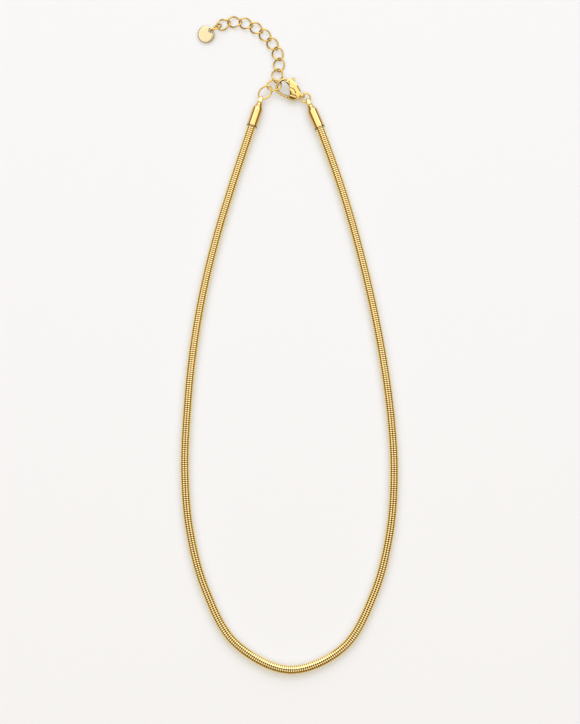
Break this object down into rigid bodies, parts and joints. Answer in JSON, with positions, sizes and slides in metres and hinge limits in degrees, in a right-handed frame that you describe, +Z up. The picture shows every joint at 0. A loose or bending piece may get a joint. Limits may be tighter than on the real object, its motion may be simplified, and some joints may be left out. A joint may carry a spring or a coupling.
{
  "type": "snake_chain_necklace",
  "caption": "Gold-tone snake chain necklace lying as a closed loop, with plain end caps, a lobster clasp and a short link extender with a round tag",
  "frame": {"origin": "The middle of the footprint on the table the necklace lies on", "axes": "+X to the right of the picture, +Y towards the clasp at the top of the picture, +Z up from the table"},
  "size_m": [0.0668, 0.2072, 0.0035],
  "materials": {
    "gold_metal": "polished"
  },
  "bodies": {
    "necklace": {"snake_chain": "gold_metal", "left_end_cap": "gold_metal", "right_end_cap": "gold_metal", "cap_ring": "gold_metal", "extender_link_1": "gold_metal", "extender_link_2": "gold_metal", "extender_link_3": "gold_metal", "extender_link_4": "gold_metal", "extender_link_5": "gold_metal", "extender_link_6": "gold_metal", "extender_link_7": "gold_metal", "extender_link_8": "gold_metal", "extender_link_9": "gold_metal", "extender_link_10": "gold_metal", "tag_ring": "gold_metal", "tag": "gold_metal", "clasp_ring": "gold_metal", "clasp_body": "gold_metal"},
    "clasp_lever": {"clasp_lever": "gold_metal"}
  },
  "joints": [
    {"name": "lever_hinge", "type": "hinge", "parent": "necklace", "child": "clasp_lever", "pos_m": [0.00192, 0.07848, 0.00194], "axis": [-0.0237, -0.2248, 0.9741], "range_deg": [0, 25], "stiffness_Nm_per_rad": 0.01}
  ]
}
